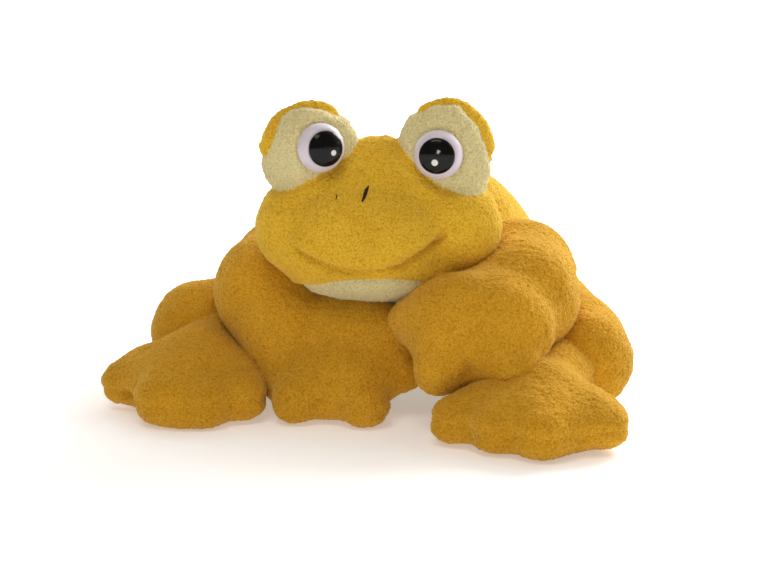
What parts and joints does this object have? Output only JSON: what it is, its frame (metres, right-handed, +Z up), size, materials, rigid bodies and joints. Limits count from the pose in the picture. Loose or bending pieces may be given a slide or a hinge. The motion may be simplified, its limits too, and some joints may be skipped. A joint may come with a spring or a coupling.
{
  "type": "plush frog",
  "caption": "Sprawled stuffed plush frog with domed plastic eyes, a stitched smile and webbed feet.",
  "frame": {"origin": "on the floor under the middle of the toy's bounding box", "axes": "+Z up; the frog faces -Y; +X is the frog's own left"},
  "size_m": [0.4383, 0.384, 0.2648],
  "materials": {
    "plush_yellow": "plush",
    "plush_cream": "plush",
    "fibrefill": "loose polyester fibre",
    "eye_white": "glossy",
    "eye_black": "glossy",
    "washer_plastic": "matt",
    "thread_black": "embroidery thread",
    "thread_yellow": "sewing thread"
  },
  "bodies": {
    "torso": {"back_panel": "plush_yellow", "belly_panel": "plush_cream", "torso_stuffing": "fibrefill"},
    "head": {"face_panel": "plush_yellow", "chin_panel": "plush_cream", "back_head_panel": "plush_yellow", "head_stuffing": "fibrefill", "left_eye_patch": "plush_cream", "right_eye_patch": "plush_cream", "left_eye_white": "eye_white", "right_eye_white": "eye_white", "left_pupil": "eye_black", "right_pupil": "eye_black", "left_eye_washer": "washer_plastic", "right_eye_washer": "washer_plastic", "left_nostril_stitch": "thread_black", "right_nostril_stitch": "thread_black", "smile_stitch": "thread_yellow"},
    "left_arm": {"left_arm_upper": "plush_yellow", "left_arm_under": "plush_yellow", "left_arm_stuffing": "fibrefill"},
    "right_arm": {"right_arm_upper": "plush_yellow", "right_arm_under": "plush_yellow", "right_arm_stuffing": "fibrefill"},
    "left_leg": {"left_thigh_upper": "plush_yellow", "left_thigh_under": "plush_yellow", "left_thigh_stuffing": "fibrefill"},
    "right_leg": {"right_thigh_upper": "plush_yellow", "right_thigh_under": "plush_yellow", "right_thigh_stuffing": "fibrefill"},
    "left_foot": {"left_foot_upper": "plush_yellow", "left_foot_sole": "plush_yellow", "left_foot_stuffing": "fibrefill"},
    "right_foot": {"right_foot_upper": "plush_yellow", "right_foot_sole": "plush_yellow", "right_foot_stuffing": "fibrefill"}
  },
  "joints": [
    {"name": "head_nod", "type": "hinge", "parent": "torso", "child": "head", "pos_m": [0, -0.036, 0.128], "axis": [-1, 0, 0], "range_deg": [0, 14]},
    {"name": "left_shoulder", "type": "hinge", "parent": "torso", "child": "left_arm", "pos_m": [0.11, -0.02, 0.105], "axis": [-0.86, 0, 0.5103], "range_deg": [0, 5]},
    {"name": "right_shoulder", "type": "hinge", "parent": "torso", "child": "right_arm", "pos_m": [-0.11, -0.02, 0.105], "axis": [-0.86, 0, -0.5103], "range_deg": [0, 16]},
    {"name": "left_hip", "type": "hinge", "parent": "torso", "child": "left_leg", "pos_m": [0.122, 0.076, 0.044], "axis": [0, 0, 1], "range_deg": [0, 30]},
    {"name": "right_hip", "type": "hinge", "parent": "torso", "child": "right_leg", "pos_m": [-0.122, 0.076, 0.044], "axis": [0, 0, -1], "range_deg": [0, 30]},
    {"name": "left_knee", "type": "hinge", "parent": "left_leg", "child": "left_foot", "pos_m": [0.168, -0.018, 0.043], "axis": [0, 0, 1], "range_deg": [0, 25]},
    {"name": "right_knee", "type": "hinge", "parent": "right_leg", "child": "right_foot", "pos_m": [-0.168, -0.018, 0.043], "axis": [0, 0, -1], "range_deg": [0, 25]}
  ]
}
